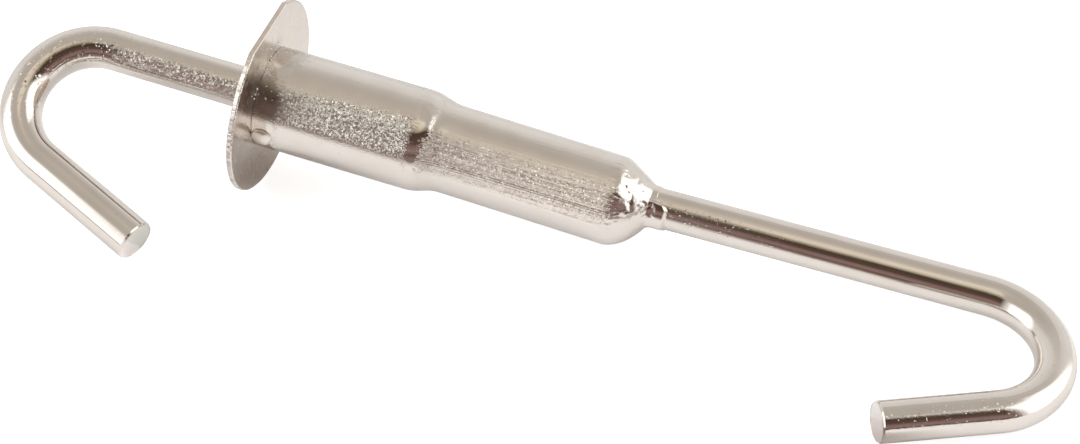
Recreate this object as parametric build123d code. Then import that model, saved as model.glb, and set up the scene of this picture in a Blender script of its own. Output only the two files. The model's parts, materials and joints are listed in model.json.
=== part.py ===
from build123d import *
import functools
import math
import os

# Trunk ventilation hook: a fixed rear hook held in the swaged neck of a stepped spring
# housing, and a sprung front hook that pulls out of the housing through its end flange and
# swivels in it.
#
# Working frame, in which every piece is drawn: +X runs along the housing's axis from the
# end flange (its inner face is x = 0) to the rear hook, the rear hook bends towards -Y, and
# +Z is up. lay_down() then turns the whole hook to the way it lies on a table.
#
# All lengths are in millimetres, all angles in degrees.

# Wire
front_rod_d = 8.0
rear_rod_d = 7.3
rod_end_chamfer = 0.35

# Front hook
front_reach = 31.9           # inner face of the flange to the start of the bend
front_bend_r = 12.95         # on the wire's centre line
front_bend_angle = 158.0
front_tail = 24.8
front_droop = 28.6           # the front hook's plane below the rear hook's plane

# Rear hook
rear_reach = 61.25           # mouth of the housing to the start of the bend
rear_bend_r = 14.25
rear_bend_angle = 152.2
rear_tail = 21.1
rear_lean = 2.0              # the rear wire is gripped slightly askew
rear_rise = 0.55             # and off the housing's axis at the mouth
rear_head_d = 11.0
rear_head_room = 1.1         # radial, between its head and the dome that holds it

# Spring housing: a drawn tube, swaged down behind the spring and domed onto the rear wire.
# The swaged end leans a little, and ends in a thin lip round the wire, longer on one side.
housing_d = 19.1
swaged_d = 16.6
housing_wall = 1.25
step_start = 30.8
step_length = 3.6
step_blend = 8.0             # radius on both corners of the step
blend_share = 0.4            # most of the step's flank that the blend of one corner takes
swaged_end = 68.1            # corner between the swaged tube and the dome
swaged_lean = 1.0
swaged_lean_turn = 228.5     # direction in which it leans, from +Y towards +Z
dome_middle_x = 71.5
dome_middle_d = 12.7
mouth_x = 74.3
shoulder_r = 4.8
neck_r = 0.9                 # on the open end's outer edge; the neck itself stays sharp
lip_t = 0.15
lip_reach = 2.0              # past the mouth, on the wire's axis
lip_slant = 24.0
lip_turn = 185.0             # direction of its long side, from +Y towards +Z

# End flange
flange_d = 36.8
flange_t = 1.1
flange_edge_r = 0.25
flange_flat = 16.85          # axis to the flat
flange_flat_turn = 93.0      # direction the flat faces, from +Y towards +Z
running_clearance = 0.08     # radial, front wire in the flange and in the spring seat

# Tack welds between flange and housing
tack_count = 3
tack_first_turn = 193.0      # direction of the first, from +Y towards +Z
tack_spacing = 80.0          # they lie on the side away from the flange's flat
tack_length = 3.4
tack_width = 3.0
tack_height = 1.1

# Inside the housing
seat_t = 2.0
seat_wall_gap = 0.3          # spring seat to the bore and to the step it stops against
front_head_d = 12.0
head_t = 3.0                 # both wires
head_gap = 0.05              # front head to the spring seat
spring_wire_d = 1.4
spring_mean_d = 13.0
spring_turns = 8
spring_end_gap = 0.05


# Worked out from the sizes above
housing_r = housing_d / 2
swaged_r = swaged_d / 2
bore_r = housing_r - housing_wall
swaged_bore_r = swaged_r - housing_wall
front_rod_r = front_rod_d / 2
rear_rod_r = rear_rod_d / 2
mouth_r = rear_rod_r + lip_t
flange_r = flange_d / 2
seat_r = bore_r - seat_wall_gap
step_end = step_start + step_length
dome_slope = (swaged_r - mouth_r) / (mouth_x - swaged_end)
inner_end = swaged_end - housing_wall * (math.hypot(1, dome_slope) - 1) / dome_slope
inner_mouth_x = inner_end + (swaged_bore_r - rear_rod_r) / dome_slope
rear_head_x = inner_end + (swaged_bore_r - rear_head_d / 2 - rear_head_room) / dome_slope
seat_x = step_start - seat_wall_gap      # rear face of the spring seat
head_x = seat_x + head_gap               # front face of the front wire's head

x_axis = Vector(1, 0, 0)


def turned(angle):
    """Unit vector across the housing, angle degrees from +Y towards +Z."""
    return Vector(0, math.cos(math.radians(angle)), math.sin(math.radians(angle)))


def disc_cylinder(centre, direction, radius, length):
    """Cylinder that starts at centre and runs along direction."""
    return extrude(Plane(origin=centre, z_dir=direction) * Circle(radius), length)


class HookLine:
    """Centre line of a hook: a straight shank, one bend and a straight tail, in one plane."""

    def __init__(self, start, shank_dir, bend_dir, shank, bend_r, bend_angle, tail):
        self.start = start
        self.shank_dir = shank_dir.normalized()
        across = bend_dir - self.shank_dir * bend_dir.dot(self.shank_dir)
        self.across = across.normalized()
        turn = math.radians(bend_angle)
        self.bend_start = start + self.shank_dir * shank
        self.bend_centre = self.bend_start + self.across * bend_r
        self.tail_dir = self.shank_dir * math.cos(turn) + self.across * math.sin(turn)
        swept = self.shank_dir * math.sin(turn) - self.across * math.cos(turn)
        self.tail_start = self.bend_centre + swept * bend_r
        self.tail_end = self.tail_start + self.tail_dir * tail
        self.normal = self.shank_dir.cross(self.across)

    def wire(self):
        shank = Line(self.start, self.bend_start)
        bend = TangentArc(self.bend_start, self.tail_start, tangent=self.shank_dir)
        tail = Line(self.tail_start, self.tail_end)
        return Wire([shank, bend, tail])


rear_shank_dir = Vector(math.cos(math.radians(rear_lean)), 0, math.sin(math.radians(rear_lean)))
rear_mouth = Vector(mouth_x, 0, rear_rise)

front_line = HookLine(
    Vector(head_x, 0, 0), x_axis * -1, turned(180 + front_droop),
    head_x + front_reach, front_bend_r, front_bend_angle, front_tail,
)
rear_inside = mouth_x - rear_head_x
rear_line = HookLine(
    rear_mouth - rear_shank_dir * rear_inside, rear_shank_dir, turned(180),
    rear_inside + rear_reach, rear_bend_r, rear_bend_angle, rear_tail,
)


def hook(line, rod_r, head_r):
    """Bent round wire with a chamfered tail and an upset head on its hidden end."""
    section = Plane(origin=line.start, z_dir=line.shank_dir) * Circle(rod_r)
    rod = sweep(section, path=line.wire())
    tail_rim = rod.edges().filter_by(GeomType.CIRCLE).sort_by_distance(line.tail_end)[0]
    rod = chamfer(tail_rim, rod_end_chamfer)
    head = disc_cylinder(line.start, line.shank_dir * -1, head_r, head_t)
    rim = head.edges().filter_by(GeomType.CIRCLE)
    return rod + chamfer(rim, rod_end_chamfer)


def front_hook():
    return hook(front_line, front_rod_r, front_head_d / 2)


def rear_hook():
    return hook(rear_line, rear_rod_r, rear_head_d / 2)


def swaged_plane(x):
    """Plane across the leaning swaged tube, at x along it."""
    lean = math.tan(math.radians(swaged_lean))
    direction = (x_axis + turned(swaged_lean_turn) * lean).normalized()
    origin = Vector(step_end, 0, 0) + direction * (x - step_end)
    return Plane(origin=origin, x_dir=turned(0), z_dir=direction)


def wire_plane(x):
    """Plane across the rear wire, at x along the housing."""
    return Plane(origin=rear_mouth + rear_shank_dir * (x - mouth_x), x_dir=turned(0), z_dir=rear_shank_dir)


def blend_corners(bar, corners, blend_r):
    """Rounds the circular edges of a bar that are centred nearest to the corners, all in one step."""
    rims = bar.edges().filter_by(GeomType.CIRCLE)
    nearest = [rims.sort_by(lambda edge: (edge.arc_center - corner).length)[0] for corner in corners]
    return fillet(nearest, blend_r)


def drawn_bar(full_r, small_r, small_end, dome_circles, shoulder_blend):
    """Round bar in two diameters with a blended step, drawn in through the dome's circles."""
    full_plane = Plane(origin=(step_start, 0, 0), x_dir=turned(0), z_dir=x_axis)
    small_plane = swaged_plane(step_end)
    shoulder = swaged_plane(small_end)
    bar = disc_cylinder(Vector(0, 0, 0), x_axis, full_r, step_start)
    bar += loft([full_plane * Circle(full_r), small_plane * Circle(small_r)], ruled=True)
    bar += extrude(small_plane * Circle(small_r), small_end - step_end)
    bar += loft([shoulder * Circle(small_r), *dome_circles])
    step_slope = math.atan((full_r - small_r) / step_length)
    flank = step_length / math.cos(step_slope)
    largest_blend = blend_share * flank / math.tan(step_slope / 2)
    bar = blend_corners(bar, [full_plane.origin, small_plane.origin], min(step_blend, largest_blend))
    return blend_corners(bar, [shoulder.origin], shoulder_blend)


def spring_housing():
    """Stepped tube, domed onto the rear wire and ending in a slanted lip."""
    dome_middle = swaged_plane(dome_middle_x) * Circle(dome_middle_d / 2)
    dome_mouth = wire_plane(mouth_x) * Circle(mouth_r)
    outside = drawn_bar(housing_r, swaged_r, swaged_end, [dome_middle, dome_mouth], shoulder_r)
    inner_mouth = wire_plane(inner_mouth_x) * Circle(rear_rod_r)
    cavity = drawn_bar(bore_r, swaged_bore_r, inner_end, [inner_mouth], shoulder_r - housing_wall)
    rear_wire = disc_cylinder(rear_line.start, rear_shank_dir, rear_rod_r, rear_inside + rear_reach)
    return blend_corners(outside + neck_lip(), [Vector(0, 0, 0)], neck_r) - cavity - rear_wire


def neck_lip():
    """Thin sleeve on the rear wire, from inside the cone to its slanted end."""
    root = rear_mouth - rear_shank_dir * (mouth_x - swaged_end) / 2
    sleeve = disc_cylinder(root, rear_shank_dir, mouth_r, rear_reach / 2)
    end = rear_mouth + rear_shank_dir * lip_reach
    tilt_axis = rear_shank_dir.cross(turned(lip_turn))
    facing = rear_shank_dir.rotate(Axis((0, 0, 0), tilt_axis), -lip_slant)
    return split(sleeve, bisect_by=Plane(origin=end, z_dir=facing), keep=Keep.BOTTOM)


def end_flange():
    """Stamped round plate with one flat and a running hole for the front wire."""
    plate = Plane.YZ.offset(-flange_t) * Circle(flange_r)
    plate = extrude(plate, flange_t)
    flat_dir = turned(flange_flat_turn)
    plate = split(plate, bisect_by=Plane(origin=flat_dir * flange_flat, z_dir=flat_dir), keep=Keep.BOTTOM)
    rims = plate.faces().filter_by(Axis.X).edges()
    plate = fillet(rims, flange_edge_r)
    hole = Plane.YZ.offset(-flange_t) * Circle(front_rod_r + running_clearance)
    return plate - extrude(hole, flange_t)


def tack_weld(turn):
    """Short weld bead in the corner between the flange and the housing."""
    seat = Plane(origin=turned(turn) * housing_r, x_dir=x_axis, z_dir=turned(turn))
    bead = seat * scale(Sphere(1), (tack_length, tack_width / 2, tack_height))
    bead = split(bead, bisect_by=Plane.YZ, keep=Keep.TOP)
    return bead - disc_cylinder(Vector(0, 0, 0), x_axis, housing_r, step_start)


def spring_seat():
    """Washer that slides in the housing ahead of the front wire's head."""
    face = Plane.YZ.offset(seat_x - seat_t) * (Circle(seat_r) - Circle(front_rod_r + running_clearance))
    return extrude(face, seat_t)


def compression_spring():
    """Open-wound spring between the flange and the spring seat."""
    wire_r = spring_wire_d / 2
    low = spring_end_gap + wire_r
    high = seat_x - seat_t - spring_end_gap - wire_r
    height = high - low
    coil_r = spring_mean_d / 2
    pitch = height / spring_turns
    path = Helix(pitch, height, coil_r, center=(low, 0, 0), direction=(1, 0, 0))
    section = Plane(origin=path @ 0, z_dir=path % 0) * Circle(wire_r)
    return sweep(section, path=path, is_frenet=True)


def lowest_point(ring, down):
    """Lowest point of a round-edged ring, given as its centre, axis, ring radius and edge radius."""
    centre, axis, ring_r, edge_r = ring
    outwards = (down - axis * down.dot(axis)).normalized()
    return centre + outwards * ring_r + down * edge_r


def resting_plane():
    """Table top under the hook: it touches the flange's rim, the rear bend and the front tail."""
    rings = [
        (Vector(-flange_edge_r, 0, 0), x_axis, flange_r - flange_edge_r, flange_edge_r),
        (rear_line.bend_centre, rear_line.normal, rear_bend_r, rear_rod_r),
        (front_line.tail_end - front_line.tail_dir * rod_end_chamfer, front_line.tail_dir, front_rod_r, 0),
    ]
    down = Vector(0, 0, -1)
    for _ in range(40):
        flange_point, rear_point, tail_point = [lowest_point(ring, down) for ring in rings]
        normal = (rear_point - flange_point).cross(tail_point - flange_point).normalized()
        down = normal if normal.Z < 0 else normal * -1
    forward = x_axis - down * x_axis.dot(down)
    return Plane(origin=flange_point, x_dir=forward, z_dir=down * -1)


def lay_down(parts):
    """Turns the parts onto the table, with the origin under the middle of their box."""
    table = resting_plane()
    laid = {name: table.to_local_coords(shape) for name, shape in parts.items()}
    first, *others = [shape.bounding_box() for shape in laid.values()]
    whole = functools.reduce(BoundBox.add, others, first)
    middle = whole.center()
    onto_origin = Location((-middle.X, -middle.Y, -whole.min.Z))
    return {name: shape.moved(onto_origin) for name, shape in laid.items()}


def build():
    parts = {
        "spring_housing": spring_housing(),
        "end_flange": end_flange(),
        "rear_hook": rear_hook(),
        "front_hook": front_hook(),
        "spring_seat": spring_seat(),
        "compression_spring": compression_spring(),
    }
    for number in range(tack_count):
        turn = tack_first_turn + number * tack_spacing
        parts[f"tack_weld_{number + 1}"] = tack_weld(turn)
    return lay_down(parts)


os.makedirs("parts", exist_ok=True)
for node, shape in build().items():
    export_step(shape, f"parts/{node}.step")
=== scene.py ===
import json
import math
import random

import bmesh
import bpy
import numpy
from mathutils import Matrix, Vector, noise
from mathutils.bvhtree import BVHTree


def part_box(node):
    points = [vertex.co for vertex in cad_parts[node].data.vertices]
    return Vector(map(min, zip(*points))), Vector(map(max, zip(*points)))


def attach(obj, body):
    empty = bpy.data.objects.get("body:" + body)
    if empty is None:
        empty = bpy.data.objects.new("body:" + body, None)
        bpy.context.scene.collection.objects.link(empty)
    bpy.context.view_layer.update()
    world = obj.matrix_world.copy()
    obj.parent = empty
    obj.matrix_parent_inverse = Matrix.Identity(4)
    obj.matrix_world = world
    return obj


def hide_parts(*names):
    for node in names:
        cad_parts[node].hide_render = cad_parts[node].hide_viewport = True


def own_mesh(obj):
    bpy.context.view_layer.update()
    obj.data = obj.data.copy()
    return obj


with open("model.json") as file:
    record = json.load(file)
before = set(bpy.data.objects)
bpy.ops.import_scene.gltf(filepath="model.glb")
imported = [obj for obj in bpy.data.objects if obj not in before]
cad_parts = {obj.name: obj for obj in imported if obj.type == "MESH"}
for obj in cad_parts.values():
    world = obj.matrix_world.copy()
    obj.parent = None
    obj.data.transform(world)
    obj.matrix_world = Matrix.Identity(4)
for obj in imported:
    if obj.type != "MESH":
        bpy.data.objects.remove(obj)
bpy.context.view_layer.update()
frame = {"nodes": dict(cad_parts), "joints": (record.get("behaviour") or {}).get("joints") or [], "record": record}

MM = 0.001

# The camera looks at a point just over the table. Its heading is the direction from the object to
# the camera, from +X towards +Y, and its height is above the table.
CAMERA_AIM = Vector((3.31, 2.77, 7.89)) * MM
CAMERA_DISTANCE = 405.05 * MM
CAMERA_HEADING = math.radians(-70.73)
CAMERA_HEIGHT = math.radians(41.84)
CAMERA_ROLL = math.radians(-1.54)
CAMERA_LENS = 74.67
CAMERA_SENSOR = 36.0
CAMERA_NEAREST = 10 * MM

# Where things are, read from the frame
joints = {joint["name"]: joint for joint in frame["joints"]}
mounts = {mount["name"]: mount for mount in frame["record"]["mounts"]}


def reach(node, direction):
    """How far a CAD node goes along a direction."""
    return max(vertex.co.dot(direction) for vertex in frame["nodes"][node].data.vertices)


tube_axis = -Vector(joints["hook_pull"]["axis"]).normalized()
axis_point = Vector(joints["hook_swivel"]["pos_m"])
tube_start = axis_point + tube_axis * (reach("end_flange", tube_axis) - axis_point.dot(tube_axis))
tube_side = Vector((0, 0, 1)).cross(tube_axis).normalized()
tube_top = tube_axis.cross(tube_side)
camera_side = Vector((math.cos(CAMERA_HEADING), math.sin(CAMERA_HEADING), 0))
camera_right = Vector((0, 0, 1)).cross(camera_side)
to_camera = camera_side * math.cos(CAMERA_HEIGHT) + Vector((0, 0, math.sin(CAMERA_HEIGHT)))

# Round the tube, angles start on the side that faces the camera and grow upwards
tube_facing = (to_camera - tube_axis * to_camera.dot(tube_axis)).normalized()
tube_upward = tube_facing.cross(tube_axis)
if tube_upward.z < 0:
    tube_upward = -tube_upward

# Sizes of the object that the finish depends on
TUBE_R = 9.55 * MM
STEP_START = 30.8 * MM
HOUSING_WALL = 1.25 * MM
ROD_CHAMFER = 0.35 * MM
SPRING_WIRE_R = 0.7 * MM
SPRING_MEAN_R = 6.5 * MM
SPRING_TURNS = 8
SPRING_GAP = 0.05 * MM


class Graph:
    """A node tree whose short calls make a node each and return its output."""

    def __init__(self, tree):
        self.tree = tree
        tree.nodes.clear()

    def make(self, kind, inputs=(), **settings):
        node = self.tree.nodes.new(kind)
        for name, value in settings.items():
            setattr(node, name, value)
        for key, value in dict(inputs).items():
            self.feed(node.inputs[key], value)
        return node

    def feed(self, socket, value):
        if isinstance(value, bpy.types.NodeSocket):
            self.tree.links.new(value, socket)
        else:
            socket.default_value = value

    def math(self, operation, a, b=0.0, c=0.0):
        return self.make("ShaderNodeMath", {0: a, 1: b, 2: c}, operation=operation).outputs[0]

    def times(self, *factors):
        product = factors[0]
        for factor in factors[1:]:
            product = self.math("MULTIPLY", product, factor)
        return product

    def plus(self, *terms):
        total = terms[0]
        for term in terms[1:]:
            total = self.math("ADD", total, term)
        return total

    def layers(self, *rows):
        """Sum of the products of each row's factors."""
        return self.plus(*[self.times(*row) for row in rows])

    def vector(self, operation, a, b=(0.0, 0.0, 0.0)):
        return self.make("ShaderNodeVectorMath", {0: a, 1: b}, operation=operation)

    def join(self, a, b):
        """Sum of two vectors."""
        return self.vector("ADD", a, b).outputs[0]

    def scaled(self, direction, factor):
        inputs = {0: direction, "Scale": factor}
        return self.make("ShaderNodeVectorMath", inputs, operation="SCALE").outputs[0]

    def offset(self, position, origin):
        return self.vector("SUBTRACT", position, tuple(origin)).outputs[0]

    def dot(self, position, direction):
        return self.vector("DOT_PRODUCT", position, tuple(direction)).outputs["Value"]

    def distance(self, position, spot):
        return self.vector("DISTANCE", position, tuple(spot)).outputs["Value"]

    def combine(self, x, y, z):
        return self.make("ShaderNodeCombineXYZ", {0: x, 1: y, 2: z}).outputs[0]

    def fade(self, value, start, end):
        """0 before start, 1 after end, and smooth between them; start may be the higher one."""
        if start < end:
            limits = {"From Min": start, "From Max": end, "To Min": 0.0, "To Max": 1.0}
        else:
            limits = {"From Min": end, "From Max": start, "To Min": 1.0, "To Max": 0.0}
        inputs = {"Value": value, **limits}
        node = self.make("ShaderNodeMapRange", inputs, interpolation_type="SMOOTHSTEP")
        return node.outputs["Result"]

    def window(self, value, start, full, fading, end):
        """1 from full to fading, 0 before start and after end, and smooth between them."""
        return self.times(self.fade(value, start, full), self.fade(value, end, fading))

    def swing(self, value, size):
        """Turns noise from 0 to 1 into a swing of that size about 0."""
        return self.times(self.plus(value, -0.5), size)

    def mix(self, factor, a, b):
        """Blend of two colours."""
        node = self.make("ShaderNodeMix", {"Factor": factor}, data_type="RGBA")
        for socket, value in ((node.inputs[6], a), (node.inputs[7], b)):
            self.feed(socket, value if isinstance(value, bpy.types.NodeSocket) else (*value, 1.0))
        return node.outputs[2]

    def noise(self, position, size, detail=2.0, rough=0.5):
        """Noise from 0 to 1 whose features are about size across, in metres."""
        inputs = {"Vector": position, "Scale": 1 / size, "Detail": detail, "Roughness": rough}
        return self.make("ShaderNodeTexNoise", inputs).outputs[0]

    def facets(self, position, size, tilt):
        """A lean of the surface that changes between crystals, each about size across."""
        cells = self.make("ShaderNodeTexVoronoi", {"Vector": position, "Scale": 1 / size})
        return self.scaled(self.offset(cells.outputs["Color"], (0.5, 0.5, 0.5)), tilt)

    def bands(self, value, stops):
        """Colours by value, from stops of (place, colour) with places from 0 to 1."""
        node = self.make("ShaderNodeValToRGB", {0: value})
        ramp = node.color_ramp
        ramp.interpolation = "EASE"
        while len(ramp.elements) < len(stops):
            ramp.elements.new(0.5)
        for element, (place, colour) in zip(ramp.elements, stops):
            element.position = place
            element.color = (*colour, 1.0)
        return node.outputs[0]


def direction_bands(graph, angle, stops):
    """Colours by an angle in radians, from stops of (degrees, colour) from -90 to 90."""
    place = graph.math("MULTIPLY_ADD", angle, 1 / math.pi, 0.5)
    return graph.bands(place, [(degrees / 180 + 0.5, colour) for degrees, colour in stops])


# What the metal mirrors: pale walls and a beige ceiling, a soft box on either side, a cream light
# over the camera, and the dark room in front of the table. WALLS and ROOM give colours by their
# height in degrees. Headings are from the camera's side, in degrees.
WHITE = (1.0, 1.0, 1.0)
WALLS = (
    (-20, (0.92, 0.92, 0.92)),
    (18, (0.92, 0.91, 0.89)),
    (34, (0.86, 0.83, 0.80)),
    (48, (0.67, 0.63, 0.59)),
    (64, (0.58, 0.54, 0.49)),
    (78, (0.61, 0.56, 0.50)),
    (88, (0.70, 0.64, 0.57)),
)
ROOM = (
    (-14, (0.55, 0.50, 0.48)),
    (-5, (0.16, 0.10, 0.09)),
    (4, (0.17, 0.11, 0.10)),
    (12, (0.33, 0.225, 0.21)),
    (20, (0.27, 0.18, 0.165)),
    (31, (0.12, 0.072, 0.056)),
    (50, (0.075, 0.055, 0.04)),
    (59, (0.42, 0.37, 0.27)),
    (66, (0.80, 0.72, 0.59)),
    (76, (0.96, 0.87, 0.74)),
    (84, (0.86, 0.78, 0.68)),
    (89, (0.74, 0.67, 0.60)),
)
ROOM_SIDES = (-46, 47)
BOX_COLOUR = (1.75, 1.74, 1.70)
LEFT_BOX = ((-104, -56), (-30, 48))
RIGHT_BOX = ((53, 116), (-20, 54))
SOFT_EDGE = 6


def soft_window(graph, angle, limits):
    """1 between two angles in degrees and 0 outside, with soft edges; angle is in radians."""
    low, high = (math.radians(limit) for limit in limits)
    edge = math.radians(SOFT_EDGE)
    return graph.window(angle, low - edge, low + edge, high - edge, high + edge)


def studio_world():
    world = bpy.data.worlds.new("studio")
    bpy.context.scene.world = world
    world.use_nodes = True
    graph = Graph(world.node_tree)
    direction = graph.make("ShaderNodeTexCoord").outputs["Generated"]
    height = graph.math("ARCSINE", graph.dot(direction, (0, 0, 1)))
    rightward, nearward = graph.dot(direction, camera_right), graph.dot(direction, camera_side)
    heading = graph.math("ARCTAN2", rightward, nearward)
    walls = direction_bands(graph, height, WALLS)
    room = direction_bands(graph, height, ROOM)
    mirrored = graph.mix(soft_window(graph, heading, ROOM_SIDES), walls, room)
    for sides, heights in (LEFT_BOX, RIGHT_BOX):
        box = graph.times(soft_window(graph, heading, sides), soft_window(graph, height, heights))
        mirrored = graph.mix(box, mirrored, BOX_COLOUR)
    rays = graph.make("ShaderNodeLightPath").outputs
    seen = graph.math("MAXIMUM", rays["Is Camera Ray"], rays["Is Transmission Ray"])
    colour = graph.mix(seen, mirrored, WHITE)
    shader = graph.make("ShaderNodeBackground", {"Color": colour, "Strength": 1.0})
    out = graph.make("ShaderNodeOutputWorld")
    graph.feed(out.inputs["Surface"], shader.outputs[0])


def new_piece(name, build):
    """A mesh object in the scene whose mesh is filled by build, called with a bmesh."""
    mesh = bpy.data.meshes.new(name)
    shape = bmesh.new()
    build(shape)
    shape.to_mesh(mesh)
    shape.free()
    piece = bpy.data.objects.new(name, mesh)
    bpy.context.scene.collection.objects.link(piece)
    return piece


def bridge(shape, rings):
    """Faces between neighbouring rings that have as many corners each."""
    for first, second in zip(rings, rings[1:]):
        for corner in range(len(first)):
            after = (corner + 1) % len(first)
            shape.faces.new((first[corner], first[after], second[after], second[corner]))


def smooth_outside(shape):
    """Turns all the faces outwards and smooths the quads and triangles."""
    bmesh.ops.recalc_face_normals(shape, faces=shape.faces)
    for face in shape.faces:
        face.smooth = len(face.verts) <= 4


FLOOR_HALF_SIZE = 3.0

# The white sheet as the metal mirrors it: it ends in front of the object, except on the right, and
# is less lit behind it. What the camera sees of it is white, apart from the object's shadow.
SHEET_FRONT = (20 * MM, 75 * MM)
SHEET_BACK = (-25 * MM, -90 * MM)
SHEET_RIGHT = (78 * MM, 58 * MM)
SHEET = (0.79, 0.80, 0.82)
SHEET_LESS_LIT = (0.60, 0.60, 0.61)
PAST_SHEET = (0.20, 0.15, 0.13)
PAST_SHEET_GLOW = (0.15, 0.10, 0.09)
GLOW_MIRRORED = 0.12
GLOW_SEEN = 0.58


def studio_floor():
    def build(shape):
        bmesh.ops.create_grid(shape, x_segments=2, y_segments=2, size=FLOOR_HALF_SIZE)

    floor = new_piece("floor", build)
    material = bpy.data.materials.new("white_sheet")
    material.use_nodes = True
    graph = Graph(material.node_tree)
    place = graph.make("ShaderNodeTexCoord").outputs["Object"]
    rays = graph.make("ShaderNodeLightPath")
    glossy = rays.outputs["Is Glossy Ray"]
    nearness = graph.dot(place, camera_side)
    ends = graph.fade(graph.dot(place, camera_right), *SHEET_RIGHT)
    past_sheet = graph.times(graph.fade(nearness, *SHEET_FRONT), ends, glossy)
    behind = graph.times(graph.fade(nearness, *SHEET_BACK), glossy)
    sheet = graph.mix(behind, SHEET, SHEET_LESS_LIT)
    paper = graph.mix(past_sheet, sheet, PAST_SHEET)
    diffuse = graph.make("ShaderNodeBsdfDiffuse", {"Color": paper})
    glow = graph.mix(past_sheet, WHITE, PAST_SHEET_GLOW)
    seen = rays.outputs["Is Camera Ray"]
    strength = graph.math("MULTIPLY_ADD", seen, GLOW_SEEN, GLOW_MIRRORED)
    glowing = graph.make("ShaderNodeEmission", {"Color": glow, "Strength": strength})
    both = graph.make("ShaderNodeAddShader", {0: diffuse.outputs[0], 1: glowing.outputs[0]})
    out = graph.make("ShaderNodeOutputMaterial")
    graph.feed(out.inputs["Surface"], both.outputs[0])
    floor.data.materials.append(material)


# The lamps' headings and heights in degrees, and their shares of the light
SIDE_LAMPS = ((-80, 42, 1.0), (85, 48, 0.9))
LAMP_DISTANCE = 0.9
LAMP_SIZE = 0.5
LAMP_POWER = 3.2


def facing(back):
    """Turn of a lamp or a camera whose back points along a direction."""
    return back.to_track_quat("Z", "Y").to_matrix().to_4x4()


def side_lamps():
    """The soft boxes' light on the sheet, which the metal already mirrors in the world."""
    for number, (heading, height, share) in enumerate(SIDE_LAMPS):
        data = bpy.data.lights.new(f"soft_box_{number}", "AREA")
        data.shape = "SQUARE"
        data.size = LAMP_SIZE
        data.energy = LAMP_POWER * share
        lamp = bpy.data.objects.new(f"soft_box_{number}", data)
        bpy.context.scene.collection.objects.link(lamp)
        turn, rise = math.radians(heading), math.radians(height)
        level = camera_side * math.cos(turn) + camera_right * math.sin(turn)
        back = level * math.cos(rise) + Vector((0, 0, math.sin(rise)))
        spin = facing(back)
        lamp.matrix_world = Matrix.Translation(back * LAMP_DISTANCE) @ spin
        lamp.visible_glossy = False


def place_camera():
    data = bpy.data.cameras.new("camera")
    data.lens = CAMERA_LENS
    data.sensor_width = CAMERA_SENSOR
    data.clip_start = CAMERA_NEAREST
    camera = bpy.data.objects.new("camera", data)
    bpy.context.scene.collection.objects.link(camera)
    spot = Matrix.Translation(CAMERA_AIM + to_camera * CAMERA_DISTANCE)
    camera.matrix_world = spot @ facing(to_camera) @ Matrix.Rotation(CAMERA_ROLL, 4, "Z")
    bpy.context.scene.camera = camera


# Metals, as they mirror white light head on
NICKEL = (0.745, 0.698, 0.652)
NICKEL_DARK = (0.69, 0.640, 0.585)
# Lighter nickel, for the weld metal and for the painted sheen on the small tube
NICKEL_BRIGHT = (0.96, 0.90, 0.83)
NICKEL_COOL = (0.74, 0.72, 0.68)
PIT = (0.20, 0.16, 0.13)
STAIN = (0.17, 0.13, 0.11)
CUT_METAL = (0.95, 0.89, 0.87)
BROKEN_METAL = (0.76, 0.76, 0.71)
PLATE_WARM = (0.70, 0.62, 0.545)
# Painted shade for the flange's lower face
PLATE_PAINTED_SHADE = (0.50, 0.405, 0.33)
SEAT_STEEL = (0.50, 0.49, 0.47)
SPRING_STEEL = (0.30, 0.29, 0.28)


def start_metal(name):
    """A new material, its graph and its surface position, in the row frame."""
    material = bpy.data.materials.new(name)
    material.use_nodes = True
    graph = Graph(material.node_tree)
    return material, graph, graph.make("ShaderNodeTexCoord").outputs["Object"]


def finish_metal(graph, colour, roughness, height, tilt=None):
    """Ends a metal's graph. height is the relief in metres, and tilt leans the crystals."""
    relief = {"Strength": 1.0, "Distance": 1.0, "Height": height}
    if tilt is not None:
        flat = graph.make("ShaderNodeNewGeometry").outputs["Normal"]
        relief["Normal"] = graph.vector("NORMALIZE", graph.join(flat, tilt)).outputs[0]
    normal = graph.make("ShaderNodeBump", relief).outputs[0]
    inputs = {"Base Color": colour, "Metallic": 1.0, "Roughness": roughness, "Normal": normal}
    shader = graph.make("ShaderNodeBsdfPrincipled", inputs)
    out = graph.make("ShaderNodeOutputMaterial")
    graph.feed(out.inputs["Surface"], shader.outputs[0])


# How much a point is squeezed along the axis for drawn lines and for scuffs
DRAWN_SQUEEZE = 0.012
DRAGGED_SQUEEZE = 0.25


class Wire:
    """Where a surface point is beside an axis.

    along and away are how far it is along the axis and off it, height runs from -1 under the axis
    to 1 over it, and drawn and dragged are the point squeezed along the axis, for lines and scuffs.
    """

    def __init__(self, graph, position, origin, axis):
        side = Vector((0, 0, 1)).cross(axis).normalized()
        top = axis.cross(side)
        moved = graph.offset(position, origin)
        self.along = graph.dot(moved, axis)
        sideways = graph.dot(moved, side)
        upward = graph.dot(moved, top)
        square = graph.layers((sideways, sideways), (upward, upward))
        self.away = graph.math("SQRT", square)
        self.height = graph.math("DIVIDE", upward, self.away)
        self.drawn = graph.combine(graph.times(self.along, DRAWN_SQUEEZE), sideways, upward)
        self.dragged = graph.combine(graph.times(self.along, DRAGGED_SQUEEZE), sideways, upward)


CLOUD_SIZE = 5 * MM
CLOUD_SHARE = 0.6
PIT_SIZE = 0.5 * MM
PIT_SHARE = 0.5
FINE_SHARE = 0.15


def nickel_colour(graph, position, fine):
    """Warm nickel with faint clouds and small dark pits; fine is the metal's own grain."""
    clouds = graph.fade(graph.noise(position, CLOUD_SIZE), 0.35, 0.75)
    pits = graph.fade(graph.noise(position, PIT_SIZE, 1.0), 0.25, 0.19)
    clouded = graph.mix(graph.times(clouds, CLOUD_SHARE), NICKEL, NICKEL_DARK)
    pitted = graph.mix(graph.times(pits, PIT_SHARE), clouded, PIT)
    return graph.mix(graph.times(graph.fade(fine, 0.4, 0.65), FINE_SHARE), pitted, NICKEL_DARK)


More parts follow.
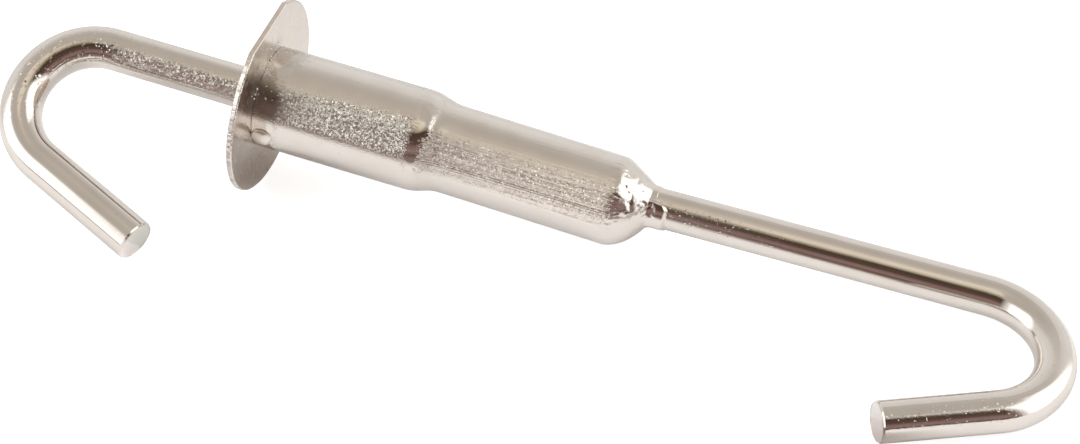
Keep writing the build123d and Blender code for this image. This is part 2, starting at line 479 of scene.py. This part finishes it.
# Smoke from welding: each stain's angle round the tube, how far along the tube it is and its size
# in millimetres, and its strength
STAINS = ((-3, 0.4, 4.2, 0.55), (-14, 3.2, 2.7, 0.55), (60, 3.0, 3.4, 0.22))
STAIN_RAGGED = 5 * MM
STAIN_SOFT = 0.3
SMOKE_DULLS = 0.34


def weld_stain(graph, position, ragged):
    """How much smoke from welding darkens the corner of the flange and the tube."""
    edge = graph.swing(ragged, STAIN_RAGGED)
    darkest = 0.0
    for angle, along, size, strength in STAINS:
        turn = math.radians(angle)
        spot = tube_start + tube_axis * (along * MM)
        spot += (tube_facing * math.cos(turn) + tube_upward * math.sin(turn)) * TUBE_R
        away = graph.plus(graph.distance(position, spot), edge)
        inside = graph.fade(away, size * (1 + STAIN_SOFT) * MM, size * (1 - STAIN_SOFT) * MM)
        darkest = graph.math("MAXIMUM", darkest, graph.times(inside, strength))
    return darkest


# Long scratches left by drawing: heights round the swaged tube and the front wire, and strengths
TUBE_LINES = ((0.275, 0.45), (0.33, 0.85), (0.375, 0.60), (0.79, 0.25))
TUBE_LINE_WIDTH = 0.009
WIRE_LINES = ((0.02, 0.50), (0.16, 0.75))
WIRE_LINE_WIDTH = 0.03
LINE_WANDER = 0.02


def draw_lines(graph, wire, wander, lines, width):
    """How dark the long scratches along a tube or a wire make it."""
    height = graph.plus(wire.height, graph.swing(wander, LINE_WANDER))
    marks = []
    for line, strength in lines:
        off = graph.math("ABSOLUTE", graph.plus(height, -line))
        marks.append(graph.times(graph.fade(off, width, width * 0.3), strength))
    return graph.math("MINIMUM", graph.plus(*marks), graph.fade(wander, 0.25, 0.40))


# Where the housing's finish changes. Windows say where a part starts, is full, fades and ends.
# Distances run along the tube from the flange, and heights round it run from -1 to 1.
LARGE_TUBE = (4.1 * MM, 4.9 * MM, STEP_START - 1.6 * MM, STEP_START - 0.8 * MM)
LARGE_FLANK = (0.15, 0.50, 0.78, 0.90)
SPECKS_FROM = (0.26, 0.42)
SPECKS_TO = (0.82, 0.75)
SPECKS_WIDEN = 4.5                # how much higher the specks reach with each metre along
SMALL_START = (STEP_START + 0.9 * MM, STEP_START + 1.7 * MM)
SMALL_END = (69.2 * MM, 66.6 * MM)
SMALL_FLANK = (-0.05, 0.15, 0.78, 0.90)
LATE_ABOVE = (0.66, 0.76)         # over these heights the small tube's finish starts later
LATE_BY = 0.9 * MM
# Along these distances the small tube's flank is coloured lighter, as a painted sheen
PAINTED_SHEEN_ALONG = (26 * MM, 58 * MM)
PAINTED_SHEEN_SHARE = 0.9
DOME_START = (66.5 * MM, 69.5 * MM)
FINISH_RAGGED = 4 * MM


def housing_metal():
    """Plating with specks on the large tube, and scuffs and long scratches on the small one."""
    material, graph, position = start_metal("nickel_tube")
    wire = Wire(graph, position, tube_start, tube_axis)
    grain = graph.noise(position, 0.34 * MM)
    dragged = graph.noise(wire.dragged, 0.26 * MM, rough=0.6)
    lines = graph.noise(wire.drawn, 0.30 * MM, rough=0.6)
    waves = graph.noise(position, 2.2 * MM)
    clouds = graph.noise(position, 6 * MM, 1.0)
    streaks = graph.layers((lines, 0.55), (dragged, 0.45))

    ragged = graph.plus(wire.along, graph.swing(dragged, FINISH_RAGGED))
    large = graph.window(ragged, *LARGE_TUBE)
    large_flank = graph.window(wire.height, *LARGE_FLANK)
    widened = graph.times(wire.along, -SPECKS_WIDEN)
    over_specks = graph.plus(wire.height, widened, graph.swing(dragged, 0.10))
    under_edge = graph.fade(over_specks, *SPECKS_TO)
    specked = graph.times(graph.fade(wire.height, *SPECKS_FROM), under_edge)
    late = graph.times(graph.fade(wire.height, *LATE_ABOVE), -LATE_BY)
    small_start = graph.fade(graph.plus(ragged, late), *SMALL_START)
    small = graph.times(small_start, graph.fade(ragged, *SMALL_END))
    small_flank = graph.times(small, graph.window(wire.height, *SMALL_FLANK))
    dome = graph.fade(wire.along, *DOME_START)

    relief = graph.layers(
        (grain, large, 0.030 * MM),
        (dragged, small, 0.008 * MM),
        (lines, small, 0.035 * MM),
        (grain, dome, 0.012 * MM),
        (waves, 0.006 * MM),
    )
    specks = graph.layers(
        (large, specked, graph.fade(grain, 0.36, 0.50), 0.90),
        (small_flank, graph.fade(grain, 0.45, 0.56), 0.90),
    )
    scuffs = graph.times(small_flank, graph.fade(streaks, 0.38, 0.54), 0.55)
    specks_tilt = graph.facets(position, 0.27 * MM, specks)
    scuffs_tilt = graph.facets(wire.drawn, 0.17 * MM, scuffs)

    smoke = weld_stain(graph, position, dragged)
    frosted = graph.plus(0.14, graph.times(graph.fade(grain, 0.40, 0.58), 0.12))
    frosted_lines = graph.plus(0.22, graph.times(graph.fade(streaks, 0.38, 0.56), 0.20))
    rough = graph.plus(0.10, graph.layers(
        (smoke, SMOKE_DULLS),
        (large, 0.06),
        (large, large_flank, frosted),
        (small, 0.05),
        (small_flank, frosted_lines),
    ))

    scratched = graph.times(draw_lines(graph, wire, clouds, TUBE_LINES, TUBE_LINE_WIDTH), small)
    # Painted sheen: lighter nickel on the small tube's flank, growing along it
    painted_sheen = graph.times(small_flank, graph.fade(wire.along, *PAINTED_SHEEN_ALONG), PAINTED_SHEEN_SHARE)
    plain = nickel_colour(graph, position, grain)
    nickel = graph.mix(graph.times(large, large_flank), plain, NICKEL_COOL)
    nickel = graph.mix(painted_sheen, nickel, NICKEL_BRIGHT)
    colour = graph.mix(graph.math("MAXIMUM", smoke, scratched), nickel, STAIN)
    finish_metal(graph, colour, rough, relief, graph.join(specks_tilt, scuffs_tilt))
    return material


# The wires' sheared ends: the shears cut one side, and the other broke off
END_DEPTH = 0.03 * MM
CUT_SIDE = (1.0 * MM, 0.7 * MM)
CUT_RAGGED = 2.4 * MM
CUT_ROUGH = 0.35
CUT_GRAIN = 0.022 * MM
CUT_SHARE = 0.8


def wire_end(mount_name):
    """The middle of a wire's end face, the direction it faces and the wire's radius."""
    mount = mounts[mount_name]
    axis = Vector(mount["axis"]).normalized()
    half = mount["dims"]["length_mm"] * MM / 2 + ROD_CHAMFER / 2
    return Vector(mount["pos_m"]) + axis * half, axis, mount["dims"]["r_mm"] * MM


def cut_end(graph, position, mount_name):
    """1 on the sheared end of a wire and 0 elsewhere."""
    end, axis, radius = wire_end(mount_name)
    past_end = graph.dot(graph.offset(position, end), axis)
    near_end = graph.math("GREATER_THAN", past_end, -END_DEPTH)
    inside = graph.math("LESS_THAN", graph.distance(position, end), radius)
    return graph.times(near_end, inside)


def end_colour(graph, position, mount_name, waves, cut, broken):
    """A sheared end's colours, where the shears cut it and where it broke off."""
    mount = mounts[mount_name]
    across = Vector(mount["axis"]).cross(to_camera).normalized()
    over = graph.dot(graph.offset(position, mount["pos_m"]), across)
    edge = graph.plus(over, graph.swing(waves, CUT_RAGGED))
    return graph.mix(graph.fade(edge, *CUT_SIDE), cut, broken)


# Where the front wire's finish changes: along the housing's axis, off it, and in height
FRONT_SHANK_ALONG = (-33 * MM, -26 * MM)
FRONT_SHANK_OFF = (8 * MM, 5 * MM)
FRONT_BEND_ALONG = (-24 * MM, -30 * MM)
FRONT_BEND_OFF = (24 * MM, 12 * MM)
FRONT_FLANK = (0.12, 0.30, 0.80, 0.90)
FRONT_UNDERSIDE = (0.35, 0.10)


def front_wire_metal():
    """Bright plating, specked on the shank's flank and a little round the bend."""
    material, graph, position = start_metal("nickel_front_wire")
    wire = Wire(graph, position, tube_start, tube_axis)
    grain = graph.noise(position, 0.32 * MM)
    lines = graph.noise(wire.drawn, 0.55 * MM, 1.0)
    fine_lines = graph.noise(wire.drawn, 0.20 * MM, rough=0.6)
    spots = graph.noise(position, 0.5 * MM, 1.0)
    waves = graph.noise(position, 2.0 * MM)

    off_axis = graph.fade(wire.away, *FRONT_SHANK_OFF)
    shank = graph.times(off_axis, graph.fade(wire.along, *FRONT_SHANK_ALONG))
    flank = graph.times(shank, graph.window(wire.height, *FRONT_FLANK))
    underside = graph.times(shank, graph.fade(wire.height, *FRONT_UNDERSIDE))
    near_bend = graph.fade(wire.along, *FRONT_BEND_ALONG)
    bend = graph.times(near_bend, graph.fade(wire.away, *FRONT_BEND_OFF))
    end = cut_end(graph, position, "front_tail")

    relief = graph.layers(
        (grain, shank, 0.025 * MM),
        (fine_lines, shank, 0.020 * MM),
        (lines, underside, 0.16 * MM),
        (grain, end, CUT_GRAIN),
        (waves, 0.006 * MM),
    )
    on_flank = graph.times(flank, graph.fade(grain, 0.38, 0.52), 0.42)
    on_bend = graph.times(bend, graph.fade(spots, 0.56, 0.66), 0.45)
    tilt = graph.facets(position, 0.32 * MM, graph.math("MAXIMUM", on_flank, on_bend))

    frost = graph.fade(graph.layers((grain, 0.7), (fine_lines, 0.3)), 0.42, 0.58)
    frosted = graph.plus(0.17, graph.times(frost, 0.14))
    rough = graph.plus(0.085, graph.layers((flank, frosted), (end, CUT_ROUGH)))

    cut = end_colour(graph, position, "front_tail", waves, CUT_METAL, BROKEN_METAL)
    shade = graph.mix(graph.times(end, CUT_SHARE), nickel_colour(graph, position, grain), cut)
    scratched = draw_lines(graph, wire, waves, WIRE_LINES, WIRE_LINE_WIDTH)
    shade = graph.mix(graph.times(scratched, shank), shade, STAIN)
    finish_metal(graph, shade, rough, relief, tilt)
    return material


# Where the rear wire's finish changes: along its shank from the flange, in height, and off the
# middle of its tail
NEAR_NECK = (110 * MM, 82 * MM)
DULL_BELOW = (0.75, 0.60)
CHIPPED_BELOW = (0.71, 0.62)
ON_TAIL = (17 * MM, 10 * MM)


def rear_wire_metal():
    """Bright plating, duller near the neck, with small chips there and on the tail."""
    material, graph, position = start_metal("nickel_rear_wire")
    shank_axis = -Vector(mounts["rear_throat"]["axis"]).normalized()
    wire = Wire(graph, position, tube_start, shank_axis)
    grain = graph.noise(position, 0.25 * MM, 3.0, 0.65)
    lines = graph.noise(wire.drawn, 0.16 * MM, rough=0.6)
    spots = graph.noise(position, 0.5 * MM, 1.0)
    waves = graph.noise(position, 2.0 * MM)

    near_neck = graph.fade(wire.along, *NEAR_NECK)
    dull = graph.times(near_neck, graph.fade(wire.height, *DULL_BELOW))
    on_shank = graph.times(near_neck, graph.fade(wire.height, *CHIPPED_BELOW))
    on_tail = graph.fade(graph.distance(position, mounts["rear_tail"]["pos_m"]), *ON_TAIL)
    end = cut_end(graph, position, "rear_tail")

    relief = graph.layers(
        (grain, 0.004 * MM),
        (grain, end, CUT_GRAIN),
        (lines, 0.007 * MM),
        (waves, 0.004 * MM),
    )
    chips = graph.layers(
        (on_shank, graph.fade(spots, 0.58, 0.68), 0.55),
        (on_tail, graph.fade(spots, 0.64, 0.70), 0.385),
    )
    rough = graph.plus(0.06, graph.layers(
        (graph.fade(lines, 0.55, 0.75), 0.15),
        (dull, 0.16),
        (end, CUT_ROUGH),
    ))
    cut = end_colour(graph, position, "rear_tail", waves, WHITE, CUT_METAL)
    shade = graph.mix(graph.times(end, CUT_SHARE), nickel_colour(graph, position, grain), cut)
    finish_metal(graph, shade, rough, relief, graph.facets(position, 0.28 * MM, chips))
    return material


# The flange's blanked edge starts this far from the axis, and its drawn steel leans outwards
RIM_FROM = (18.05 * MM, 18.20 * MM)
RIM_BELOW = (0.95, 0.80)
RIM_LEAN = 0.32
RIM_TEETH = 0.45

# Smoke lies on the flange's inner face, and near the table the plating's colour is painted darker, as painted
# shade for the shadowed table that the face mirrors
INNER_FACE = (-0.9 * MM, -0.3 * MM)
INNER_SMOKE = 0.75
PAINTED_SHADE_HEIGHT = (17 * MM, 7 * MM)
PAINTED_SHADE_SHARE = 0.90


def flange_metal():
    """Satin plating with warm clouds, and a bright toothed edge."""
    material, graph, position = start_metal("nickel_plate")
    wire = Wire(graph, position, tube_start, tube_axis)
    grain = graph.noise(position, 0.28 * MM, 3.0, 0.65)
    waves = graph.noise(position, 2.6 * MM, 3.0, 0.6)
    relief = graph.layers((grain, 0.010 * MM), (waves, 0.032 * MM))

    inner = graph.times(graph.fade(wire.along, *INNER_FACE), INNER_SMOKE)
    smoke = graph.times(weld_stain(graph, position, waves), inner)
    satin = graph.fade(waves, 0.3, 0.7)
    rough = graph.plus(0.15, graph.layers((satin, 0.16), (smoke, SMOKE_DULLS)))

    plain = nickel_colour(graph, position, grain)
    warm = graph.mix(graph.fade(waves, 0.65, 0.35), plain, PLATE_WARM)
    # Painted shade: the flange is coloured darker towards the table, for the shadow its face mirrors there
    low = graph.fade(graph.dot(position, (0, 0, 1)), *PAINTED_SHADE_HEIGHT)
    painted_shaded = graph.mix(graph.times(low, PAINTED_SHADE_SHARE), warm, PLATE_PAINTED_SHADE)
    shade = graph.mix(smoke, painted_shaded, STAIN)

    rim = graph.times(graph.fade(wire.away, *RIM_FROM), graph.fade(wire.height, *RIM_BELOW))
    teeth = graph.facets(wire.drawn, 0.40 * MM, graph.times(rim, RIM_TEETH))
    lean = graph.scaled(tuple(-tube_axis), graph.times(rim, RIM_LEAN))
    finish_metal(graph, graph.mix(rim, shade, NICKEL), rough, relief, graph.join(teeth, lean))
    return material


def plain_metal(name, colour, roughness):
    """Unplated steel inside the housing."""
    material, graph, position = start_metal(name)
    grain = graph.noise(position, 0.3 * MM, 3.0, 0.6)
    dark = tuple(0.7 * channel for channel in colour)
    shade = graph.mix(graph.fade(grain, 0.3, 0.7), colour, dark)
    rough = graph.plus(roughness, graph.times(grain, 0.1))
    finish_metal(graph, shade, rough, graph.times(grain, 0.01 * MM))
    return material


def weld_metal():
    """Rough, bright metal of the tack welds and their spatter."""
    material, graph, position = start_metal("weld_metal")
    ripples = graph.noise(position, 0.8 * MM, rough=0.6)
    grain = graph.noise(position, 0.2 * MM)
    relief = graph.layers((ripples, 0.03 * MM), (grain, 0.008 * MM))
    rough = graph.plus(0.36, graph.times(ripples, 0.1))
    bright = graph.mix(0.5, nickel_colour(graph, position, grain), NICKEL_BRIGHT)
    finish_metal(graph, bright, rough, relief)
    return material


def paint(node, material):
    """Gives a CAD node one material."""
    mesh = frame["nodes"][node].data
    mesh.materials.clear()
    mesh.materials.append(material)


def smooth_step(value, start, end):
    """0 before start, 1 after end, and smooth between them; start may be the higher one."""
    share = min(max((value - start) / (end - start), 0.0), 1.0)
    return share * share * (3 - 2 * share)


def window(value, start, full, fading, end):
    """1 from full to fading, 0 before start and after end, and smooth between them."""
    return smooth_step(value, start, full) * smooth_step(value, end, fading)


def between(value, stops):
    """Value read off a line of (place, value) stops."""
    places = [place for place, _ in stops]
    levels = [level for _, level in stops]
    return float(numpy.interp(value, places, levels))


def stretched_noise(place, length, width):
    """Noise whose features are about length long along the housing and width wide round it."""
    return noise.noise(Vector((place.x / length, place.y / width, place.z / width)))


# The housing's marks from here on are in millimetres along it from the flange, and in degrees
# round it. Windows say where a mark starts, is full, fades and ends.
TUBE_WAVES = 0.006
STEP_WINDOW = (29.5, 31.0, 33.0, 35.0)
STEP_LUMPS = 0.02
STEP_SCUFFS = 0.012
RIDGE_SIDE = (-6, 8, 22, 38)
RIDGE_WINDOW = (30.6, 32.2, 32.4, 33.3)
RIDGE_RISE = 0.10
DRESSED_FROM = 64.0
SHOULDER_WINDOW = (65.5, 67.5, 69.0, 71.5)
SHOULDER_STREAKS = 0.11
DOME_FROM = (67.0, 69.5)
DOME_TO = (1.0, 3.0)              # before the lip's end
DOME_LUMPS = 0.06
DOME_FINE_LUMPS = 0.022
NECK_FROM = (71.5, 73.0)
NECK_TO = (1.5, 2.4)              # before the lip's end
NECK_LUMPS = 0.05
GROOVE = ((-14, 71.5), (-8, 71.3), (19, 70.7), (52, 71.3), (60, 71.6))
GROOVE_SIDE = (-14, -6, 45, 60)
GROOVE_WIDTH = 0.38
GROOVE_DEPTH = 0.11
DENTS = (                         # along, angle and size
    (69.5, 22, 0.30), (70.2, 16, 0.28), (70.8, 1, 0.30), (68.9, 38, 0.22), (72.4, 30, 0.20),
)
DENT_DEPTH = 0.20
DENT_REACH = 6
ROLLED_SIDE = (-95, -60, 5, 24)   # the lip's thick rolled edge
ROLLED_FROM = (5.0, 1.4)          # before the lip's end
ROLLED_RISE = 0.46
ROLLED_DROP = 0.10
LIP_CHAMFER = 0.55


def housing_relief(along, angle, radius, lip_end):
    """How far the housing stands proud of its plain shape."""
    turn = math.radians(angle)
    place = Vector((along, radius * math.cos(turn), radius * math.sin(turn)))
    relief = TUBE_WAVES * stretched_noise(place, 9, 4)
    step = window(along, *STEP_WINDOW)
    if step > 0:
        relief += step * STEP_LUMPS * stretched_noise(place, 1.4, 1.6)
        ridge = RIDGE_RISE * window(along, *RIDGE_WINDOW)
        scuffs = STEP_SCUFFS * step * stretched_noise(place, 0.6, 0.7)
        relief += window(angle, *RIDGE_SIDE) * (ridge + scuffs)
    if along < DRESSED_FROM:
        return relief
    streaks = max(stretched_noise(place, 4.5, 0.55), 0.0)
    relief -= SHOULDER_STREAKS * window(along, *SHOULDER_WINDOW) * streaks
    before_end = lip_end - along
    dome = smooth_step(along, *DOME_FROM) * smooth_step(before_end, *DOME_TO)
    fine = noise.noise(place / 0.7)
    relief += dome * (DOME_LUMPS * noise.noise(place / 2.1) + DOME_FINE_LUMPS * fine)
    neck = smooth_step(along, *NECK_FROM) * smooth_step(before_end, *NECK_TO)
    relief += neck * NECK_LUMPS * fine
    if GROOVE[0][0] < angle < GROOVE[-1][0]:
        off_groove = (along - between(angle, GROOVE)) / GROOVE_WIDTH
        relief -= window(angle, *GROOVE_SIDE) * GROOVE_DEPTH * math.exp(-off_groove * off_groove)
    for dent_along, dent_angle, size in DENTS:
        sideways = math.radians(angle - dent_angle) * radius
        off_dent = ((along - dent_along) ** 2 + sideways ** 2) / (size * size)
        if off_dent < DENT_REACH:
            relief -= DENT_DEPTH * math.exp(-off_dent)
    fall = min(max(before_end / LIP_CHAMFER, 0.0), 1.0)
    rise = ROLLED_RISE * fall * smooth_step(before_end, *ROLLED_FROM)
    relief += window(angle, *ROLLED_SIDE) * (rise - ROLLED_DROP * (1 - fall))
    return relief


# The dressed housing's mesh: its columns, the stations of its rows and the spacing between them
COLUMNS = 360
FRONT_EDGE = 0.09
FRONT_ROWS = (0.09, 0.12, 0.18, 0.32, 0.60)
PLAIN_ROW = 1.0
STEP_FINE = (27.0, 36.0)
STEP_ROW = 0.2
DOME_FINE = (64.0, 74.0)
DOME_ROW = 0.13
NECK_ROWS = 34
NECK_FALL = 0.45                  # over this length the dome's mouth narrows to the lip
BORE_ROWS = 24
BORE_END = 70.0
NECK_BORE_END = 72.5

# The lip: its radius, thickness and edge, and how far it reaches at each angle
LIP_R = 3.82
LIP_T = 0.3
LIP_EDGE = 0.12
LIP_EDGE_TURNS = (30, 60, 90)
LIP_REACH = (
    (-180, 77.2), (-110, 77.5), (-70, 77.6), (-47, 77.6), (-5, 77.6), (5, 77.0), (13, 76.0),
    (24, 75.0), (60, 74.9), (150, 75.4), (180, 77.2),
)

# The rays that measure the solid housing: how many, where they start and how far they go
SECTION_RAYS = 72
RAY_START = 15 * MM
RAY_LENGTH = 12.5 * MM
WIRE_STATIONS = (76.0, 76.2)


def housing_sections(stations):
    """Centre and radius of the CAD housing's outside at each station along it."""
    mesh = frame["nodes"]["spring_housing"].data
    corners = [vertex.co for vertex in mesh.vertices]
    tree = BVHTree.FromPolygons(corners, [face.vertices for face in mesh.polygons])
    found = []
    for station in stations:
        rows, sums = [], []
        for number in range(SECTION_RAYS):
            angle = 2 * math.pi * number / SECTION_RAYS
            out = tube_facing * math.cos(angle) + tube_upward * math.sin(angle)
            start = tube_start + tube_axis * (station * MM) + out * RAY_START
            spot = tree.ray_cast(start, -out, RAY_LENGTH)[0]
            if spot is not None:
                across = (spot - tube_start) / MM
                x, y = across.dot(tube_facing), across.dot(tube_upward)
                rows.append((2 * x, 2 * y, 1))
                sums.append(x * x + y * y)
        x, y, rest = numpy.linalg.lstsq(numpy.array(rows), numpy.array(sums), rcond=None)[0]
        found.append((x, y, math.sqrt(rest + x * x + y * y)))
    return numpy.array(found)


def dressed_housing(material):
    """The spring housing as swaged, with a streaked shoulder, a lumpy dome and a rolled lip."""
    step_start, step_end = STEP_FINE
    dome_start, dome_end = DOME_FINE
    stations = [0.0, *FRONT_ROWS]
    stations += [*numpy.arange(1.0, step_start, PLAIN_ROW)]
    stations += [*numpy.arange(step_start, step_end, STEP_ROW)]
    stations += [*numpy.arange(step_end, dome_start, PLAIN_ROW)]
    stations += [*numpy.arange(dome_start, dome_end, DOME_ROW)]
    sections = housing_sections([max(station, 1.0) for station in stations] + [dome_end])
    smoothed = sections.copy()
    for number in range(2, len(sections) - 2):
        smoothed[number] = sections[number - 2:number + 3].mean(axis=0)
    wire_x, wire_y, _ = housing_sections(WIRE_STATIONS).mean(axis=0)
    neck_x, neck_y, neck_r = smoothed[-1]
    angles = [360 * number / COLUMNS - 180 for number in range(COLUMNS)]
    ends = {angle: between(angle, LIP_REACH) for angle in angles}

    def spot(along, angle, x, y, radius):
        turn = math.radians(angle)
        across = tube_facing * (x + radius * math.cos(turn))
        across += tube_upward * (y + radius * math.sin(turn))
        return tube_start + (tube_axis * along + across) * MM

    def outside_spot(along, angle, x, y, radius):
        relief = housing_relief(along, angle, radius, ends[angle])
        return spot(along, angle, x, y, radius + relief)

    def neck_spot(share, angle):
        along = dome_end + (ends[angle] - dome_end) * share
        slope = math.exp(-(along - dome_end) / NECK_FALL)
        x = wire_x + (neck_x - wire_x) * slope
        y = wire_y + (neck_y - wire_y) * slope
        return outside_spot(along, angle, x, y, LIP_R + (neck_r - LIP_R) * slope)

    def lip_spot(turn, angle):
        drop = LIP_EDGE * (1 - math.cos(math.radians(turn)))
        push = LIP_EDGE * math.sin(math.radians(turn))
        radius = LIP_R + housing_relief(ends[angle], angle, LIP_R, ends[angle]) - drop
        return spot(ends[angle] + push, angle, wire_x, wire_y, radius)

    def build(shape):
        rows = []

        def add_row(points):
            rows.append([shape.verts.new(point) for point in points])

        x, y, radius = smoothed[0]
        add_row(spot(0, angle, x, y, radius - FRONT_EDGE) for angle in angles)
        for along, (x, y, radius) in zip(stations[1:], smoothed[1:-1]):
            add_row(outside_spot(along, angle, x, y, radius) for angle in angles)
        for number in range(NECK_ROWS + 1):
            add_row(neck_spot(number / NECK_ROWS, angle) for angle in angles)
        for turn in LIP_EDGE_TURNS:
            add_row(lip_spot(turn, angle) for angle in angles)
        inner_r = LIP_R - LIP_T
        add_row(spot(ends[angle] + LIP_EDGE, angle, wire_x, wire_y, inner_r) for angle in angles)
        add_row(spot(NECK_BORE_END, angle, wire_x, wire_y, inner_r) for angle in angles)
        for number in range(BORE_ROWS + 1):
            along = BORE_END * (1 - number / BORE_ROWS)
            columns = smoothed[:-1].T
            x, y, radius = (float(numpy.interp(along, stations, column)) for column in columns)
            add_row(spot(along, angle, x, y, radius - HOUSING_WALL / MM) for angle in angles)
        bridge(shape, [*rows, rows[0]])
        smooth_outside(shape)

    housing = new_piece("dressed_housing", build)
    housing.data.materials.append(material)
    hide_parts("spring_housing")
    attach(housing, "housing")
    return housing


BEAD_LENGTH = 4.4 * MM
BEAD_HALF_WIDTH = 2.3 * MM
BEAD_RISE = 0.90 * MM
BEAD_DETAIL = 5
BEAD_SEED = 7.3
BEAD_RIDGE = 0.10                 # of its rise, round the bead's far end
BEAD_RIDGE_FROM = (-0.1, 0.6)
BEAD_RIDGE_PLACE = 0.66
BEAD_RIDGE_WIDTH = 0.20


def weld_bead(name, node, material, seed):
    """Lumpy bead of weld in the corner between the flange and the housing."""
    low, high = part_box(node)
    middle = (low + high) / 2
    foot = tube_start + tube_axis * (middle - tube_start).dot(tube_axis)
    outward = (middle - foot).normalized()
    around = tube_axis.cross(outward)
    centre = tube_start + outward * TUBE_R

    def build(shape):
        bmesh.ops.create_icosphere(shape, subdivisions=BEAD_DETAIL, radius=1.0)
        for vertex in shape.verts:
            place = vertex.co.copy()
            off_ridge = (math.hypot(place.x, place.y) - BEAD_RIDGE_PLACE) / BEAD_RIDGE_WIDTH
            ridge = math.exp(-off_ridge ** 2) * smooth_step(place.x, *BEAD_RIDGE_FROM)
            swell = 0.90 + 0.08 * noise.noise(place * 1.3 + Vector((seed, 0, 0)))
            run = (place.x * 0.5 + 0.5) * BEAD_LENGTH * swell
            spread = place.y * BEAD_HALF_WIDTH * swell
            lift = (place.z * swell + BEAD_RIDGE * ridge) * BEAD_RISE
            vertex.co = centre + tube_axis * run + around * spread + outward * lift
        for face in shape.faces:
            face.smooth = True

    bead = new_piece(name, build)
    bead.data.materials.append(material)
    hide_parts(node)
    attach(bead, "housing")
    return bead


SPATTER_SEED = 11
SPATTER_COUNT = 46
SPATTER_SIZE = (0.06, 0.17)
SPATTER_ANGLES = (-12, 62)
SPATTER_OFF = 0.2 * MM            # off the corner at the least
SPATTER_REACH = 3.2 * MM
SPATTER_CROWDING = 1.8            # towards the corner
SPATTER_STRETCH = (0.7, 1.3)
SPATTER_LUMPS = 0.35


def spatter(material):
    """Tiny beads of weld thrown on the tube and the flange beside their corner."""
    chance = random.Random(SPATTER_SEED)

    def build(shape):
        for number in range(SPATTER_COUNT):
            angle = math.radians(chance.uniform(*SPATTER_ANGLES))
            out = tube_facing * math.cos(angle) + tube_upward * math.sin(angle)
            size = chance.uniform(*SPATTER_SIZE) * MM
            off = SPATTER_OFF + chance.random() ** SPATTER_CROWDING * SPATTER_REACH
            if number % 2:
                centre = tube_start + out * TUBE_R + tube_axis * off
            else:
                centre = tube_start + out * (TUBE_R + off)
            stretch = chance.uniform(*SPATTER_STRETCH)
            seed = Vector((number, 0, 0))
            drop = bmesh.ops.create_icosphere(shape, subdivisions=2, radius=1.0)
            for vertex in drop["verts"]:
                swell = 1 + SPATTER_LUMPS * noise.noise(vertex.co * 1.2 + seed)
                x, y, z = vertex.co * swell
                vertex.co = centre + Vector((x, y * stretch, z)) * size
        for face in shape.faces:
            face.smooth = True

    beads = new_piece("weld_spatter", build)
    beads.data.materials.append(material)
    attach(beads, "housing")
    return beads


def add_ring(shape, centre, out, axis, radius, corners):
    """A small circle of corners round a centre, in the plane of out and axis."""
    ring = []
    for corner in range(corners):
        turn = 2 * math.pi * corner / corners
        offset = out * math.cos(turn) + axis * math.sin(turn)
        ring.append(shape.verts.new(centre + offset * radius))
    return ring


COIL_STEPS = 48                   # in each turn
COIL_CORNERS = 16


def coil_spring(material):
    """Round wire wound between the flange and the spring seat, from end to end."""
    seat_front = -reach("spring_seat", -tube_axis) - tube_start.dot(tube_axis)
    low = SPRING_GAP + SPRING_WIRE_R
    high = seat_front - SPRING_GAP - SPRING_WIRE_R
    steps = COIL_STEPS * SPRING_TURNS

    def build(shape):
        rings = []
        for step in range(steps + 1):
            share = step / steps
            angle = 2 * math.pi * SPRING_TURNS * share
            out = tube_side * math.cos(angle) + tube_top * math.sin(angle)
            centre = tube_start + tube_axis * (low + (high - low) * share) + out * SPRING_MEAN_R
            rings.append(add_ring(shape, centre, out, tube_axis, SPRING_WIRE_R, COIL_CORNERS))
        bridge(shape, rings)
        shape.faces.new(rings[0][::-1])
        shape.faces.new(rings[-1])
        smooth_outside(shape)

    spring = new_piece("coil_spring", build)
    spring.data.materials.append(material)
    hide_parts("compression_spring")
    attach(spring, "housing")
    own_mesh(spring)
    return spring


BURR_STEPS = 160
BURR_CORNERS = 10
BURR_INSET = 0.86 * ROD_CHAMFER   # from the wire's side
BURR_R = 0.08
BURR_RAG = 0.03
FRONT_BURR_SEED = 1.7
REAR_BURR_SEED = 5.1


def sheared_end(name, mount_name, body, material, seed):
    """The burr that the cut leaves round a wire's end."""
    end, axis, rod_r = wire_end(mount_name)
    side = Vector((0, 0, 1)).cross(axis).normalized()
    top = axis.cross(side)

    def build(shape):
        rings = []
        for step in range(BURR_STEPS):
            angle = 2 * math.pi * step / BURR_STEPS
            out = side * math.cos(angle) + top * math.sin(angle)
            rag = noise.noise(Vector((math.cos(angle) * 4, math.sin(angle) * 4, seed)))
            thick = (BURR_R + BURR_RAG * rag) * MM
            centre = end + out * (rod_r - BURR_INSET)
            rings.append(add_ring(shape, centre, out, axis, thick, BURR_CORNERS))
        bridge(shape, [*rings, rings[0]])
        smooth_outside(shape)

    burr = new_piece(name, build)
    burr.data.materials.append(material)
    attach(burr, body)
    return burr


studio_world()
studio_floor()
side_lamps()
place_camera()

front_wire = front_wire_metal()
rear_wire = rear_wire_metal()
weld = weld_metal()
tube = housing_metal()
paint("spring_housing", tube)
dressed_housing(tube)
paint("end_flange", flange_metal())
paint("front_hook", front_wire)
paint("rear_hook", rear_wire)
paint("spring_seat", plain_metal("plain_steel", SEAT_STEEL, roughness=0.3))
spring_steel = plain_metal("spring_steel", SPRING_STEEL, roughness=0.35)
paint("compression_spring", spring_steel)
coil_spring(spring_steel)
for number in (1, 2, 3):
    paint(f"tack_weld_{number}", weld)
    weld_bead(f"tack_bead_{number}", f"tack_weld_{number}", weld, BEAD_SEED * number)
spatter(weld)
sheared_end("front_end_burr", "front_tail", "hook", front_wire, FRONT_BURR_SEED)
sheared_end("rear_end_burr", "rear_tail", "housing", rear_wire, REAR_BURR_SEED)

bpy.context.scene.view_settings.view_transform = "Standard"
